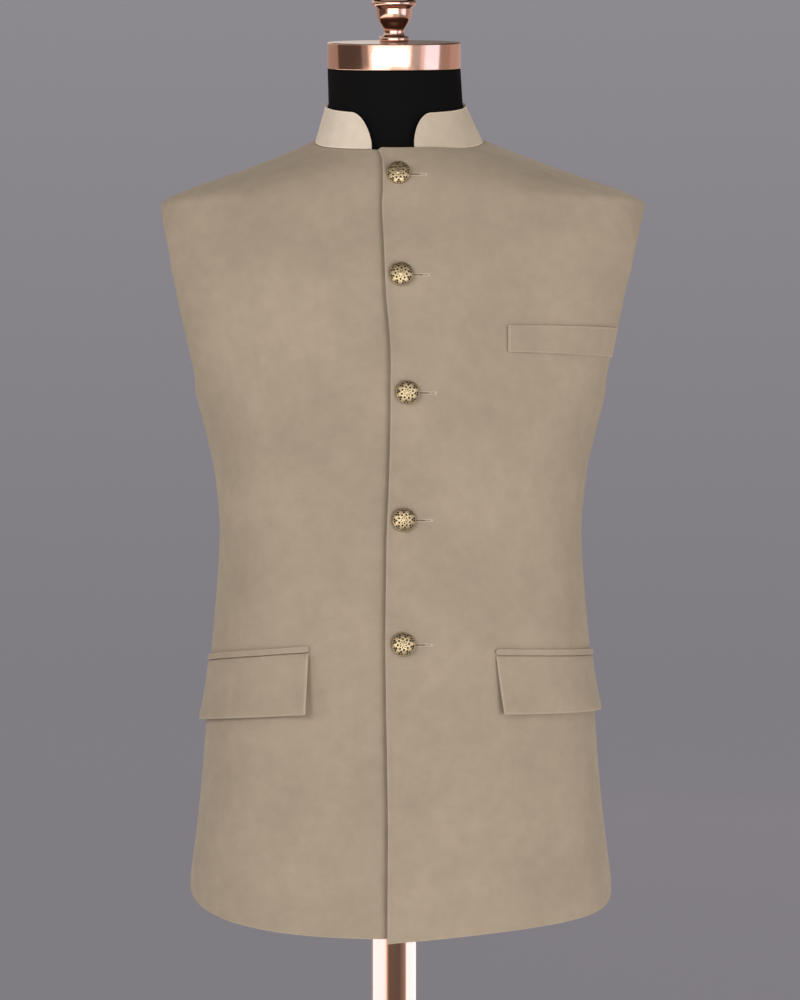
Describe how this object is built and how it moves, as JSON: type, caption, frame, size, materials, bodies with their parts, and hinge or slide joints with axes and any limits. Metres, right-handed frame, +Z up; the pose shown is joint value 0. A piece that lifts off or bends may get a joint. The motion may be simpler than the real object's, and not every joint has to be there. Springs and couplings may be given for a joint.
{
  "type": "nehru jacket on a dress form",
  "caption": "Sleeveless stand-collar waistcoat jacket in taupe velvet, buttoned down the front, worn by a limbless black dress form on a turned metal stand.",
  "frame": {"origin": "middle of the stand's underside, on the floor, under the pole", "axes": "+Z up, the jacket's front faces -Y, its wearer's left side is +X"},
  "size_m": [0.4532, 0.35, 1.3953],
  "materials": {
    "velvet": "taupe cotton velvet with a soft mottled nap",
    "collar_velvet": "the same velvet on a stiffened band, catching more light",
    "antique_gold": "antiqued gold plating, dark in the holes",
    "black_jersey": "matt black knitted cover",
    "rose_gold": "polished rose gold plating"
  },
  "bodies": {
    "root": {"left_front": "velvet", "right_front": "velvet", "back_left": "velvet", "back_right": "velvet", "collar": "collar_velvet", "left_flap": "velvet", "right_flap": "velvet", "left_pocket_welt": "velvet", "right_pocket_welt": "velvet", "breast_welt": "velvet", "button_1": "antique_gold", "button_2": "antique_gold", "button_3": "antique_gold", "button_4": "antique_gold", "button_5": "antique_gold", "dress_form": "black_jersey", "neck_cap": "rose_gold", "finial": "rose_gold", "stand_pole": "rose_gold", "stand_base": "rose_gold"}
  },
  "joints": []
}
